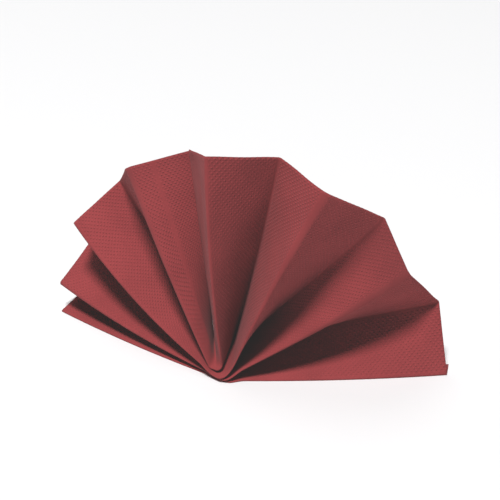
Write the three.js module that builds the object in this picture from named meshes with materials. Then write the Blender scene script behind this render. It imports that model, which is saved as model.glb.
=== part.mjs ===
// A paper napkin, pleated, folded across its middle and opened as a half-round fan that stands on a table.
// It is one folded sheet of several plies. It starts with a narrow turn that lies on the table, goes back
// and forth in seven pleats, and bends round at the foot, where all its layers are pressed together.
// Millimetres. +X is to the fan's right, +Y behind it and +Z up. The origin is on the table, under the foot.
import * as THREE from 'three';

const SHEET = 1.0; // the folded plies, pressed
const LAYER_PITCH = 1.25; // from one layer to the next in the stack at the foot
const INNER_BEND = 1.4; // radius of the last layer's bend
const FOOT_FRONT = -6; // the front folds at the foot, which puts the origin under the turn on the table
const FOOT_DEPTH = { out: 2.5, back: 27.5 }; // from the front folds to the back folds, at the foot
const TURN_DEPTH = { out: 1, back: 11.5 }; // from the floor fold to the free edge under it, at the foot
const FOLD_NOSE = 0.4; // how far a fold's nose stands out, as a part of LAYER_PITCH
const PLEAT_BOW = 1.6; // the folds bow apart by this much halfway out
const BEND_SPREAD = 0.9; // how far a fold near the table runs on before it is straight, in bend radii
const BEND_EASE = 1.5; // and the least length of that

const ARM_STEPS = 9; // stations along each straight arm of a fold
const BEND_STEPS = 7; // stations from each arm to the bottom of the bend
const PLEAT_ROWS = 2; // rows of points across a pleat, between its folds

// Across the sheet at each arm and at the foot, from front to back.
const ACROSS = {
  left: new THREE.Vector3(0.5, 0.87, 0).normalize(),
  foot: new THREE.Vector3(0.33, 0.94, 0).normalize(),
  right: new THREE.Vector3(-0.02, 1, 0).normalize(),
};
const UP = new THREE.Vector3(0, 0, 1);
const ALONG_FOOT = ACROSS.foot.clone().cross(UP); // the way the folds run at the bottom of the bend

// Each fold from the table upwards. The layer is its place in the stack, a half between two layers.
// Each end's corner is given from the fold's own foot: reach in mm, bearing back from the side, and rise.
const FOLDS = [
  { fold: 'free edge on the table', edge: 'turn', layer: 0,
    left: { reach: 99.6, bearing: 39.9, rise: 0 }, right: { reach: 101.4, bearing: 3.5, rise: 0 } },
  { fold: 'floor fold', edge: 'front', layer: 0.5,
    left: { reach: 100.7, bearing: 39.9, rise: 0.64 }, right: { reach: 100.3, bearing: 3.7, rise: 0.64 } },
  { fold: 'first valley', edge: 'back', layer: 1.5,
    left: { reach: 96.3, bearing: 42.7, rise: 1.6 }, right: { reach: 98.4, bearing: -4.2, rise: 17.1 } },
  { fold: 'first ridge', edge: 'front', layer: 2.5,
    left: { reach: 102.7, bearing: 40.5, rise: 7.8 }, right: { reach: 95.4, bearing: 3.5, rise: 32.1 } },
  { fold: 'second valley', edge: 'back', layer: 3.5,
    left: { reach: 92.7, bearing: 42.7, rise: 19.5 }, right: { reach: 105.5, bearing: -20.2, rise: 47.8 } },
  { fold: 'second ridge', edge: 'front', layer: 4.5,
    left: { reach: 103.9, bearing: 41.5, rise: 27.9 }, right: { reach: 103.7, bearing: -8.5, rise: 64.8 } },
  { fold: 'third valley', edge: 'back', layer: 5.5,
    left: { reach: 94.6, bearing: 42.3, rise: 47.2 }, right: { reach: 103.2, bearing: -26.6, rise: 75.8 } },
  { fold: 'third ridge', edge: 'front', layer: 6.5,
    left: { reach: 102.4, bearing: 46, rise: 54.5 }, right: { reach: 104.8, bearing: 132.7, rise: 85.2 } },
  { fold: 'free edge at the back', edge: 'top', layer: 7,
    left: { reach: 98.5, bearing: 20.9, rise: 79.3 }, right: { reach: 98.3, bearing: 157.4, rise: 80.1 } },
];
const TOP_LAYER = FOLDS[FOLDS.length - 1].layer;
const BEND_CENTRE = SHEET / 2 + TOP_LAYER * LAYER_PITCH + INNER_BEND;

function bendRadius(fold) {
  return INNER_BEND + (TOP_LAYER - fold.layer) * LAYER_PITCH;
}

// The foot of a fold is under the middle of its bend, on the table.
function footOf(fold) {
  const depth = { front: { out: 0, back: 0 }, turn: TURN_DEPTH }[fold.edge] ?? FOOT_DEPTH;
  return new THREE.Vector3(depth.out, FOOT_FRONT + depth.back, 0);
}

function cornerOf(fold, side) {
  const { reach, bearing, rise } = fold[side];
  const b = THREE.MathUtils.degToRad(bearing);
  const r = THREE.MathUtils.degToRad(rise);
  const sign = side === 'left' ? -1 : 1;
  const floorClear = fold.layer === 0 ? SHEET / 2 : 0;
  return footOf(fold).add(new THREE.Vector3(
    sign * reach * Math.cos(r) * Math.cos(b), reach * Math.cos(r) * Math.sin(b), reach * Math.sin(r) + floorClear));
}

// A straight arm: it leaves its own circle about the bend's centre as a tangent and ends at the corner.
// stack points from one layer to the next one above it.
function armOf(fold, side) {
  const centre = footOf(fold).setZ(BEND_CENTRE);
  const corner = cornerOf(fold, side);
  const across = ACROSS[side];
  const stack = UP.clone();
  const along = new THREE.Vector3();
  const start = new THREE.Vector3();
  for (let pass = 0; pass < 12; pass += 1) {
    start.copy(centre).addScaledVector(stack, -bendRadius(fold));
    along.subVectors(corner, start).normalize();
    if (side === 'right') stack.crossVectors(along, across).normalize();
    else stack.crossVectors(across, along).normalize();
  }
  const level = Math.max(0, 1 - Math.asin(THREE.MathUtils.clamp(along.z, 0, 1)) / (Math.PI / 2));
  start.addScaledVector(along, BEND_SPREAD * level * bendRadius(fold) + BEND_EASE);
  return { start, corner, along, stack, across };
}

// A point, and the slope there, of the curve that leaves p0 along t0 and comes to p1 along t1.
function hermite(p0, t0, p1, t1, s) {
  const mix = (a, b, c, d) => new THREE.Vector3()
    .addScaledVector(p0, a).addScaledVector(t0, b).addScaledVector(p1, c).addScaledVector(t1, d);
  return {
    place: mix(2 * s ** 3 - 3 * s ** 2 + 1, s ** 3 - 2 * s ** 2 + s, 3 * s ** 2 - 2 * s ** 3, s ** 3 - s ** 2),
    slope: mix(6 * s ** 2 - 6 * s, 3 * s ** 2 - 4 * s + 1, 6 * s - 6 * s ** 2, 3 * s ** 2 - 2 * s),
  };
}

function blend(from, to, s) {
  return from.clone().lerp(to, s).normalize();
}

// The stations of one fold from its left corner to its right one: place, stack direction and across direction.
function stationsOf(fold) {
  const left = armOf(fold, 'left');
  const right = armOf(fold, 'right');
  const bottom = footOf(fold).setZ(BEND_CENTRE - bendRadius(fold));
  const bowWay = { front: -1, back: 1 }[fold.edge] ?? 0;
  const arm = (side) => Array.from({ length: ARM_STEPS }, (_, i) => {
    const s = (1 - i / ARM_STEPS) ** 1.3;
    const place = side.start.clone().lerp(side.corner, s);
    place.addScaledVector(side.across, bowWay * PLEAT_BOW * 4 * s * (1 - s));
    return { place, stack: side.stack, across: side.across };
  });
  const bend = (side, sign) => Array.from({ length: BEND_STEPS }, (_, i) => {
    const s = i / BEND_STEPS;
    const speed = 1.25 * side.start.distanceTo(bottom);
    const leave = side.along.clone().multiplyScalar(-speed);
    const arrive = ALONG_FOOT.clone().multiplyScalar(sign * speed);
    const { place, slope } = hermite(side.start, leave, bottom, arrive, s);
    const across = blend(side.across, ACROSS.foot, s);
    return { place, stack: slope.cross(across).multiplyScalar(sign).normalize(), across };
  });
  return [
    ...arm(left), ...bend(left, 1),
    { place: bottom, stack: UP, across: ACROSS.foot },
    ...bend(right, -1).reverse(), ...arm(right).reverse(),
  ];
}

// The middle of the sheet across one station, from the free edge on the table to the one at the back.
// A fold is a blunt nose as high as the step between its two layers.
function crossSection(stations, at) {
  const points = [];
  FOLDS.forEach((fold, i) => {
    const { place, stack, across } = stations[i][at];
    const turn = { front: -1, back: 1 }[fold.edge];
    const half = stack.clone().multiplyScalar(LAYER_PITCH / 2);
    const lower = turn ? place.clone().sub(half) : place.clone();
    const last = points[points.length - 1];
    for (let row = 1; last && row <= PLEAT_ROWS; row += 1) {
      points.push(last.clone().lerp(lower, row / (PLEAT_ROWS + 1)));
    }
    points.push(lower);
    if (turn) {
      points.push(place.clone().addScaledVector(across, turn * FOLD_NOSE * LAYER_PITCH));
      points.push(place.clone().add(half));
    }
  });
  return points;
}

// Half the sheet's thickness on each side of the middle surface, with the corners mitred.
function offsets(grid, at, row) {
  const section = grid[at];
  const before = grid[Math.max(at - 1, 0)][row];
  const after = grid[Math.min(at + 1, grid.length - 1)][row];
  const along = new THREE.Vector3().subVectors(after, before).normalize();
  const faces = [];
  if (row > 0) faces.push(new THREE.Vector3().subVectors(section[row], section[row - 1]));
  if (row < section.length - 1) faces.push(new THREE.Vector3().subVectors(section[row + 1], section[row]));
  const normals = faces.map((f) => new THREE.Vector3().crossVectors(along, f).normalize());
  const mean = normals.reduce((sum, v) => sum.add(v), new THREE.Vector3()).normalize();
  const mitre = Math.min(1.45, 1 / Math.max(0.2, mean.dot(normals[0])));
  return mean.multiplyScalar((SHEET / 2) * mitre);
}

function sheetGeometry() {
  const stations = FOLDS.map(stationsOf);
  const count = stations[0].length;
  const grid = Array.from({ length: count }, (_, at) => crossSection(stations, at));
  const rows = grid[0].length;
  const positions = [];
  const index = [];
  const number = (face, at, row) => (face * count + at) * rows + row;
  for (const way of [1, -1]) {
    grid.forEach((section, at) => section.forEach((point, row) => {
      const corner = point.clone().addScaledVector(offsets(grid, at, row), way);
      positions.push(corner.x, corner.y, Math.max(0, corner.z));
    }));
  }
  const quad = (a, b, c, d) => index.push(a, b, c, a, c, d);
  for (let at = 0; at + 1 < count; at += 1) {
    for (let row = 0; row + 1 < rows; row += 1) {
      quad(number(0, at, row), number(0, at + 1, row), number(0, at + 1, row + 1), number(0, at, row + 1));
      quad(number(1, at, row), number(1, at, row + 1), number(1, at + 1, row + 1), number(1, at + 1, row));
    }
    quad(number(0, at, 0), number(1, at, 0), number(1, at + 1, 0), number(0, at + 1, 0));
    quad(number(0, at, rows - 1), number(0, at + 1, rows - 1), number(1, at + 1, rows - 1), number(1, at, rows - 1));
  }
  for (let row = 0; row + 1 < rows; row += 1) {
    quad(number(0, 0, row), number(0, 0, row + 1), number(1, 0, row + 1), number(1, 0, row));
    const end = count - 1;
    quad(number(0, end, row), number(1, end, row), number(1, end, row + 1), number(0, end, row + 1));
  }
  const geometry = new THREE.BufferGeometry();
  geometry.setAttribute('position', new THREE.Float32BufferAttribute(positions, 3));
  geometry.setIndex(index);
  geometry.computeVertexNormals();
  return geometry;
}

const paper = new THREE.MeshStandardMaterial({ color: 0x9c4547, roughness: 0.92, metalness: 0 });
const napkin = new THREE.Mesh(sheetGeometry(), paper);
napkin.name = 'napkin';

const group = new THREE.Group();
group.add(napkin);
export default group;
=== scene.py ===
import math

import bpy
import numpy as np
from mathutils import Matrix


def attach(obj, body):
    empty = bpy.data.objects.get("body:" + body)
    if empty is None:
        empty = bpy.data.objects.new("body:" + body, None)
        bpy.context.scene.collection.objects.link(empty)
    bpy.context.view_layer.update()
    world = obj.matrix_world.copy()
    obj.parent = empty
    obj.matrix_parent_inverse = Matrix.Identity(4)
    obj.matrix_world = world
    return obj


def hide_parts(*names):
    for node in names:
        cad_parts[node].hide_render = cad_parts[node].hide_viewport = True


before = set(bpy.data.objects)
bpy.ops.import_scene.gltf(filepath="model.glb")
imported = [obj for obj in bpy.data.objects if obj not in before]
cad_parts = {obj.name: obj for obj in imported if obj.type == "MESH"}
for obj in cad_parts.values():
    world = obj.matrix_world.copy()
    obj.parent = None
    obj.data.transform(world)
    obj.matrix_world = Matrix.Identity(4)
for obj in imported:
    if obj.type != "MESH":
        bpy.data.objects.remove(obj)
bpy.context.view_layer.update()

# The camera stands in front of the fan and looks down on it as the photograph does. Its place is worked out
# from the corners of the fan, with the table level and the fan's foot near the origin. Sizes are in
# millimetres.
MM = 0.001
CAMERA_PLACE = (12.46, -609.1, 360.1)
CAMERA_PITCH = 26.1
LENS = 114.5
SENSOR = 36.0
FURTHEST_SEEN = 50000
camera_data = bpy.data.cameras.new("camera")
camera_data.lens = LENS
camera_data.sensor_width = SENSOR
camera_data.clip_end = FURTHEST_SEEN * MM
camera = bpy.data.objects.new("camera", camera_data)
camera.location = [v * MM for v in CAMERA_PLACE]
camera.rotation_euler = (math.radians(90 - CAMERA_PITCH), 0, 0)
bpy.context.scene.collection.objects.link(camera)
bpy.context.scene.camera = camera

# The table is a plain white board under soft studio light. The key light is a broad disc above and in front,
# for soft shadows, and a wide weak fill light hangs behind the fan to the left. The room is dark, so that
# the deep folds stay dark too. Sizes are in metres.
FLOOR_HALF = 6.0
FLOOR_COLOUR = (0.80, 0.80, 0.805, 1)
FLOOR_ROUGHNESS = 0.9
FLOOR_SHINE = 0.1
LIGHT_DISTANCE = 5.0
LIGHTS = [
    {"light": "key light", "from": (-0.125, -0.338, 0.933), "size": 1.15, "power": 300},
    {"light": "fill light", "from": (-0.22, 0.42, 0.88), "size": 3.6, "power": 60},
]
ROOM_LIGHT = 0.0
FILM_BLACK = 0.022
floor_mesh = bpy.data.meshes.new("floor")
floor_corners = [(x * FLOOR_HALF, y * FLOOR_HALF, 0) for x, y in ((-1, -1), (1, -1), (1, 1), (-1, 1))]
floor_mesh.from_pydata(floor_corners, [], [(0, 1, 2, 3)])
floor = bpy.data.objects.new("floor", floor_mesh)
bpy.context.scene.collection.objects.link(floor)
board = bpy.data.materials.new("white board")
board.use_nodes = True
board_shader = board.node_tree.nodes["Principled BSDF"]
board_shader.inputs["Base Color"].default_value = FLOOR_COLOUR
board_shader.inputs["Roughness"].default_value = FLOOR_ROUGHNESS
board_shader.inputs["Specular IOR Level"].default_value = FLOOR_SHINE
floor_mesh.materials.append(board)

for row in LIGHTS:
    light_data = bpy.data.lights.new(row["light"], "AREA")
    light_data.shape = "DISK"
    light_data.size = row["size"]
    light_data.energy = row["power"]
    light = bpy.data.objects.new(row["light"], light_data)
    way = np.array(row["from"]) / np.linalg.norm(row["from"])
    light.location = way * LIGHT_DISTANCE
    light.rotation_euler = (math.acos(way[2]), 0, math.atan2(way[1], way[0]) + math.pi / 2)
    bpy.context.scene.collection.objects.link(light)
room = bpy.data.worlds.new("room")
room.use_nodes = True
room.node_tree.nodes["Background"].inputs["Strength"].default_value = ROOM_LIGHT
bpy.context.scene.world = room
film = bpy.context.scene.view_settings
film.view_transform = "Standard"
film.use_curve_mapping = True
film.curve_mapping.black_level = (-FILM_BLACK, -FILM_BLACK, -FILM_BLACK)
film.curve_mapping.update()

# The napkin is one embossed tissue sheet of several plies. It starts with a narrow turn on the table and goes
# back and forth in seven pleats. The pleated strip is bent round at its middle, the foot, and its two halves
# stand open as a fan. Sizes are in millimetres.
SHEET = {"rim": 0.36, "foot": 0.24}
LAYER_PITCH = 0.45
HALF_PITCH = LAYER_PITCH / 2
FRONT_FOLDS_Y = -6.0
ACROSS = {"left": (0.5, 0.87, 0), "foot": (0.68, 0.73, 0), "right": (-0.02, 1, 0)}
UP = np.array([0, 0, 1.0])
SIDES = ("left", "right")

# The sheet's points lie in stations along each fold, from the left rim round the foot to the right rim, and
# in rows across the pleats. Every other crossing of the two is an embossed point.
ARM_STATIONS = 80
BEND_STATIONS = 9
STATIONS = 2 * (ARM_STATIONS + BEND_STATIONS) + 1
ROWS_A_PLEAT = 27
ROWS_THE_TURN = 10
ROWS_BESIDE_A_FOLD = (0.2, 0.5)

# Each fold from the table upwards. edge is the way it faces, and layer its height in the pressed stack,
# counted in layers. foot is where it bends round, from the middle and from the front folds, and set_back
# moves that bend further back. bend is the bend's radius, height how high its centre stands where that
# differs, lift how far it is raised over the stack, ease how far up the arm it runs out, and square how flat
# its bottom is. Each end's corner is given by its reach, its bearing back from the side, its rise in
# degrees, and how far the fold bulges, or sags below zero. soft is how far from the fold the paper curves at
# each end. part places a fold across its pleat, and overlap is how far its left half bows past the right.
FOLDS = [
    {"fold": "free edge on the table", "edge": "turn", "layer": 0,
     "foot": (2.2, 11.5), "bend": 9.5, "lift": 0,
     "left": (93.8, 42.0, 0.12, 0), "right": (101.6, 1.9, 0.11, 0)},
    {"fold": "floor fold", "edge": "front", "layer": 0.5,
     "foot": (0.9, 0), "bend": 7.9, "lift": 0,
     "left": (100.9, 40.0, 0.26, 0), "right": (99.9, 3.2, 0.26, 0), "soft": (0.5, 0.5)},
    {"fold": "first valley", "edge": "back", "layer": 1.5,
     "foot": (2.4, 29.2), "bend": 6.5, "lift": 0,
     "left": (90.9, 43.8, 1.15, 0.1), "right": (101.0, -5.1, 16.7, 0), "soft": (0.5, 0.5)},
    {"fold": "first ridge", "edge": "front", "layer": 2.5,
     "foot": (-0.6, 0), "bend": 8.3, "lift": 0,
     "left": (103.6, 40.5, 7.8, -1.2), "right": (95.6, 3.6, 32.1, -0.9), "soft": (2.6, 3.5)},
    {"fold": "second valley", "edge": "back", "layer": 3.5,
     "foot": (3.4, 29.2), "bend": 5.6, "lift": 0,
     "left": (89.3, 42.9, 20.2, 0), "right": (107.4, -20.7, 46.6, -0.7), "soft": (0.5, 0.5)},
    {"fold": "second ridge", "edge": "front", "layer": 4.5,
     "foot": (-2.2, 0), "bend": 7.4, "lift": 0,
     "left": (104.1, 41.6, 27.85, -2.4), "right": (103.7, -8.3, 64.8, 1.3), "soft": (0.6, 3.5)},
    {"fold": "third valley", "edge": "back", "layer": 5.5,
     "foot": (0.9, 29.2), "bend": 4.8, "lift": 0.75,
     "left": (90.8, 39.5, 47.3, 0.2), "right": (104.0, -27.4, 74.3, -1.2), "soft": (0.5, 0.5)},
    {"fold": "third ridge", "edge": "front", "layer": 6.5,
     "foot": (-3.0, 0), "bend": 3.1, "lift": 1.0, "height": 1.3, "ease": 0.8, "square": 1.4, "set_back": 3.6,
     "left": (103.4, 45.8, 54.4, -0.1), "right": (105.0, 132.5, 85.15, 1.5), "soft": (3.2, 0.9)},
    {"fold": "pinch in the last pleat", "edge": "none", "layer": 6.75,
     "foot": (-2.9, 12.0), "bend": 0.5, "lift": 2.4, "ease": 9, "square": 0.45, "part": 0.40},
    {"fold": "free edge at the back", "edge": "top", "layer": 7,
     "foot": (-3.8, 28.7), "bend": 0.2, "lift": 4.0, "ease": 7, "square": 0.15, "overlap": 1.4,
     "left": (96.7, 25.8, 81.3, 0), "right": (97.6, 159.9, 81.3, 0)},
]


def unit(v):
    return v / np.linalg.norm(v, axis=-1, keepdims=True)


def corner_of(fold, side):
    """The corner at the rim where one half of a fold ends."""
    reach, bearing, rise, _ = fold[side]
    b, r = math.radians(bearing), math.radians(rise)
    sign = -1 if side == "left" else 1
    way = np.array([sign * math.cos(r) * math.cos(b), math.cos(r) * math.sin(b), math.sin(r)])
    return np.array([0, fold["foot"][1], 0]) + reach * way


corners = {fold["fold"]: {side: corner_of(fold, side) for side in SIDES} for fold in FOLDS if "left" in fold}
for before, inner, behind in zip(FOLDS, FOLDS[1:], FOLDS[2:]):
    if "part" in inner:
        part = inner["part"]
        first, second = corners[before["fold"]], corners[behind["fold"]]
        corners[inner["fold"]] = {side: first[side] + (second[side] - first[side]) * part for side in SIDES}


def bottom_of(fold):
    """The middle of a fold's bend, which is its lowest point."""
    x, y = fold["foot"]
    z = SHEET["foot"] / 2 + fold["layer"] * LAYER_PITCH + fold["lift"]
    return np.array([x, y + fold.get("set_back", 0), z])


TANGENT_ROUNDS = 12
BEND_SPREAD = 0.9
BEND_EASE = 2.0


def arm_of(fold, side):
    """A straight arm leaves the fold's own bend as a tangent and ends at its corner."""
    height = fold.get("height", fold["bend"])
    centre = bottom_of(fold) + UP * height
    corner = corners[fold["fold"]][side]
    across = unit(np.array(ACROSS[side], float))
    stack = UP
    for _ in range(TANGENT_ROUNDS):
        start = centre - stack * fold["bend"]
        along = unit(corner - start)
        stack = unit(np.cross(along, across) if side == "right" else np.cross(across, along))
    level = max(0, 1 - math.asin(min(max(along[2], 0), 1)) / (math.pi / 2))
    run_out = BEND_SPREAD * level * height + fold.get("ease", BEND_EASE)
    start = start + along * run_out
    return start, corner, along, stack, across


PLEAT_BOW = 1.6
BEND_SPEED = 1.25


def fold_line(fold):
    """The stations of one fold, from its left corner to its right one: places, and the way up the stack."""
    bottom = bottom_of(fold)
    across_foot = unit(np.array(ACROSS["foot"], float))
    run = unit(np.cross(across_foot, UP))
    bow_way = {"front": -1, "back": 1}.get(fold["edge"], 0)
    halves = []
    for side, sign in (("left", 1), ("right", -1)):
        start, corner, along, stack, across = arm_of(fold, side)
        s = 1 - np.arange(ARM_STATIONS)[:, None] / ARM_STATIONS
        swell = 4 * s * (1 - s)
        sag = fold[side][3] if side in fold else 0
        bow = bow_way * PLEAT_BOW + (fold.get("overlap", 0) if side == "left" else 0)
        arm = start + (corner - start) * s + across * bow * swell + stack * sag * swell
        s = np.arange(BEND_STATIONS)[:, None] / BEND_STATIONS
        speed = BEND_SPEED * np.linalg.norm(start - bottom)
        leave, arrive = -along * speed, run * sign * speed * fold.get("square", 1)
        bend = ((2 * s ** 3 - 3 * s ** 2 + 1) * start + (s ** 3 - 2 * s ** 2 + s) * leave
                + (3 * s ** 2 - 2 * s ** 3) * bottom + (s ** 3 - s ** 2) * arrive)
        slope = ((6 * s ** 2 - 6 * s) * start + (3 * s ** 2 - 4 * s + 1) * leave
                 + (6 * s - 6 * s ** 2) * bottom + (3 * s ** 2 - 2 * s) * arrive)
        bend_across = unit(across * (1 - s) + across_foot * s)
        bend_stack = unit(np.cross(slope, bend_across)) * sign
        arm_stack = np.repeat(stack[None], ARM_STATIONS, 0)
        halves.append([np.vstack([arm, bend]), np.vstack([arm_stack, bend_stack])])
    at_bottom = [bottom[None], UP[None]]
    return [np.vstack([left, mid, right[::-1]]) for left, mid, right in zip(halves[0], at_bottom, halves[1])]


def rows_between(count, width):
    """Where rows of points lie across a pleat, as parts of its width: evenly, and more beside each fold."""
    even = np.arange(1, count) / count
    near = np.array(ROWS_BESIDE_A_FOLD) / width
    return np.concatenate([near, even, 1 - near[::-1]])


ROUND_REACH = 1.3


def rounding(distance, edge):
    """How far the paper has come round a pressed fold, from 0 on the fold itself to 1 beside it."""
    left_to_turn = 1 - np.clip(distance / (ROUND_REACH * HALF_PITCH), 0, 1)
    return np.sqrt(1 - left_to_turn ** 2) * (edge in ("front", "back"))


# Each pleat lies half a layer over the fold that it leaves and half a layer under the one that it reaches.
# The lattice rows count the steps of the embossing from the free edge on the table.
lines = [fold_line(fold) for fold in FOLDS]
sections = []
lattice_row = []
fold_at = []
lattice_at = 0
for fold, next_fold, (place, stack), (next_place, next_stack) in zip(FOLDS, FOLDS[1:], lines, lines[1:]):
    sections.append(place)
    lattice_row.append(lattice_at)
    fold_at.append(lattice_at)
    count = ROWS_THE_TURN if fold["edge"] == "turn" else ROWS_A_PLEAT
    if "part" in next_fold:
        count = round(ROWS_A_PLEAT * next_fold["part"])
    if "part" in fold:
        count = ROWS_A_PLEAT - round(ROWS_A_PLEAT * fold["part"])
    width = np.linalg.norm(next_place - place, axis=1, keepdims=True)
    for t in rows_between(count, np.median(width)):
        round_here = rounding(t * width, fold["edge"])
        round_next = rounding((1 - t) * width, next_fold["edge"])
        point = place + (next_place - place) * t
        point = point + HALF_PITCH * (stack * (1 - t) * round_here - next_stack * t * round_next)
        sections.append(point)
        lattice_row.append(lattice_at + t * count)
    lattice_at += count
sections.append(lines[-1][0])
lattice_row.append(lattice_at)
fold_at.append(lattice_at)
middle = np.array(sections)
lattice_row = np.array(lattice_row)

# The paper curves beside a soft fold, most at the rim, so that the crease itself lies a little inside.
SOFT_EASE = 0.6
LEAST_REACH = 1e-6
from_foot = np.abs(np.arange(STATIONS) - STATIONS // 2)
arm_part = np.clip((from_foot - BEND_STATIONS) / ARM_STATIONS, 0, 1)
side_of = np.where(np.arange(STATIONS) < STATIONS // 2, 0, 1)
fold_rows = [int(np.argmin(np.abs(lattice_row - at))) for at in fold_at]
for i, fold in enumerate(FOLDS):
    if "soft" not in fold:
        continue
    crease = middle[fold_rows[i]].copy()
    to_before = unit(middle[fold_rows[i - 1]] - crease)
    to_after = unit(middle[fold_rows[i + 1]] - crease)
    reach = np.array(fold["soft"])[side_of] * arm_part ** SOFT_EASE + LEAST_REACH
    for r in range(fold_rows[i - 1] + 1, fold_rows[i + 1]):
        near, far = (to_before, to_after) if r < fold_rows[i] else (to_after, to_before)
        away = np.sum((middle[r] - crease) * near, axis=1)
        u = 0.5 + 0.5 * np.sqrt(np.clip(away / reach, 0, 1))
        shift_far = (1 - u) ** 2 * reach
        shift_near = u ** 2 * reach - np.minimum(away, reach)
        shift = shift_far[:, None] * far + shift_near[:, None] * near
        middle[r] = middle[r] + shift * (away < reach)[:, None]

# The panels aren't quite flat. Slow waves run through them, in steps of the embossing along and across the
# sheet, and fade out towards the foot, the folds and the lowest pleat's fold on the table.
WAVES = [
    {"along": 34, "across": 41, "start": 0.4, "height": 0.22},
    {"along": -21, "across": 29, "start": 1.9, "height": 0.12},
    {"along": 55, "across": -17, "start": 2.7, "height": 0.10},
]
WAVE_MARGIN = 5
WAVE_EASE = 0.7


def sheet_normal(surface):
    return unit(np.cross(np.gradient(surface, axis=1), np.gradient(surface, axis=0)))


waves = np.zeros((len(lattice_row), STATIONS))
for row in WAVES:
    turns = np.arange(STATIONS)[None, :] / row["along"] + lattice_row[:, None] / row["across"]
    waves += row["height"] * np.sin(2 * np.pi * turns + row["start"])
fold_distance = np.min([np.abs(lattice_row - at) for at in fold_at], axis=0)
calm = np.clip(fold_distance / WAVE_MARGIN, 0, 1) * np.clip((lattice_row - fold_at[1]) / ROWS_A_PLEAT, 0, 1)
middle = middle + sheet_normal(middle) * (waves * calm[:, None] * arm_part[None, :] ** WAVE_EASE)[..., None]

# The embossing is pressed into the open panels, and is flattened in the foot and beside the folds. The sheet
# is thinner in the foot, where its plies are pressed together.
EMBOSS_DEPTH = 0.045
EMBOSS_FADE = 0.35
EMBOSS_MARGIN = 2
PRESSED_STATIONS = 15
PRESSED_FADE = 30
normal = sheet_normal(middle)
bump_sign = np.cos(np.pi * lattice_row)[:, None] * np.cos(np.pi * np.arange(STATIONS))[None, :]
embossed = np.clip(arm_part / EMBOSS_FADE, 0, 1)
emboss_share = np.clip(fold_distance / EMBOSS_MARGIN, 0, 1)[:, None] * embossed[None, :]
emboss = EMBOSS_DEPTH * bump_sign * emboss_share
pressed = np.clip(1 - (from_foot - PRESSED_STATIONS) / PRESSED_FADE, 0, 1)
thickness = SHEET["rim"] + (SHEET["foot"] - SHEET["rim"]) * pressed
upper = middle + normal * (emboss + thickness / 2)[..., None]
lower = middle + normal * (emboss - thickness / 2)[..., None]
points = np.concatenate([upper.reshape(-1, 3), lower.reshape(-1, 3)])
points[:, 1] += FRONT_FOLDS_Y
points[:, 2] = np.maximum(points[:, 2], 0)

# The mesh is closed: an upper and a lower side, and narrow walls round the four cut edges. The lattice
# attribute gives each point its station, its row and its share of the embossing.
ROWS = len(lattice_row)
number = np.arange(ROWS * STATIONS).reshape(ROWS, STATIONS)
top = np.stack([number[:-1, :-1], number[:-1, 1:], number[1:, 1:], number[1:, :-1]], -1).reshape(-1, 4)
under = top[:, ::-1] + ROWS * STATIONS
rim = np.concatenate([number[0, ::-1], number[1:, 0], number[-1, 1:], number[-2:0:-1, -1]])
after = np.roll(rim, -1)
side_walls = np.stack([rim, after, after + ROWS * STATIONS, rim + ROWS * STATIONS], -1)
faces = np.concatenate([top, under, side_walls])
napkin_mesh = bpy.data.meshes.new("tissue_sheet")
napkin_mesh.from_pydata((points * MM).tolist(), [], faces.tolist())
napkin_mesh.update()
napkin_mesh.shade_smooth()
lattice = napkin_mesh.attributes.new("lattice", "FLOAT_VECTOR", "POINT")
stations = np.broadcast_to(np.arange(STATIONS)[None, :], (ROWS, STATIONS))
rows = np.broadcast_to(lattice_row[:, None], (ROWS, STATIONS))
one_side = np.stack([stations, rows, emboss_share], -1).reshape(-1, 3)
lattice.data.foreach_set("vector", np.concatenate([one_side, one_side]).astype(np.float32).ravel())
napkin = bpy.data.objects.new("tissue_sheet", napkin_mesh)
bpy.context.scene.collection.objects.link(napkin)

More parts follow.
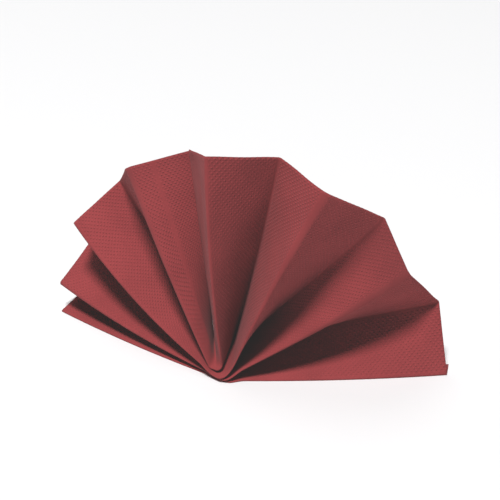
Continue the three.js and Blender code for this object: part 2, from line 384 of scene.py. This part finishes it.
# The tissue is matt and dyed burgundy, with slow changes of tone. Its embossed points carry a painted
# highlight, a lighter colour where light would catch them, and the finer part of their relief is in the bump.
TISSUE_FINISH = {"Roughness": 0.9, "Specular IOR Level": 0.08, "Sheen Weight": 0.04, "Sheen Roughness": 0.5}
POINT_SHARPNESS = 1.6
POINT_HEIGHT = 0.36
POINT_PAINTED_HIGHLIGHT = 1.3
TONE_SCALE = 60
TONE_DETAIL = 4
TONES = [
    {"at": 0.3, "colour": (0.238, 0.0325, 0.0350, 1)},
    {"at": 0.8, "colour": (0.305, 0.0430, 0.0458, 1)},
]
tissue = bpy.data.materials.new("burgundy tissue")
tissue.use_nodes = True
nodes, links = tissue.node_tree.nodes, tissue.node_tree.links
shader = nodes["Principled BSDF"]
for socket_name, value in TISSUE_FINISH.items():
    shader.inputs[socket_name].default_value = value
reader = nodes.new("ShaderNodeAttribute")
reader.attribute_name = "lattice"
split = nodes.new("ShaderNodeSeparateXYZ")
links.new(reader.outputs["Vector"], split.inputs["Vector"])


def worked_out(operation, *values):
    """A math node's output. Each of its values is another node's socket or a plain number."""
    node = nodes.new("ShaderNodeMath")
    node.operation = operation
    for socket, value in zip(node.inputs, values):
        if isinstance(value, (int, float)):
            socket.default_value = value
        else:
            links.new(value, socket)
    return node.outputs[0]


station_wave = worked_out("COSINE", worked_out("MULTIPLY", split.outputs["X"], math.pi))
row_wave = worked_out("COSINE", worked_out("MULTIPLY", split.outputs["Y"], math.pi))
checker = worked_out("MULTIPLY", station_wave, row_wave)
sharp_points = worked_out("POWER", worked_out("MAXIMUM", checker, 0), POINT_SHARPNESS)
points_height = worked_out("MULTIPLY", sharp_points, split.outputs["Z"])
emboss_bump = nodes.new("ShaderNodeBump")
emboss_bump.inputs["Strength"].default_value = 1
emboss_bump.inputs["Distance"].default_value = POINT_HEIGHT * MM
links.new(points_height, emboss_bump.inputs["Height"])
links.new(emboss_bump.outputs["Normal"], shader.inputs["Normal"])
cloud = nodes.new("ShaderNodeTexNoise")
cloud.inputs["Scale"].default_value = TONE_SCALE
cloud.inputs["Detail"].default_value = TONE_DETAIL
place_node = nodes.new("ShaderNodeTexCoord")
links.new(place_node.outputs["Object"], cloud.inputs["Vector"])
ramp = nodes.new("ShaderNodeValToRGB")
for stop, tone in zip(ramp.color_ramp.elements, TONES):
    stop.position = tone["at"]
    stop.color = tone["colour"]
# Painted highlight: the height of the embossed points lightens the base colour on top of the slow tone
# changes.
links.new(worked_out("MULTIPLY_ADD", points_height, POINT_PAINTED_HIGHLIGHT, cloud.outputs["Fac"]), ramp.inputs["Fac"])
links.new(ramp.outputs["Color"], shader.inputs["Base Color"])
napkin_mesh.materials.append(tissue)

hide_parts("napkin")
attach(napkin, "root")
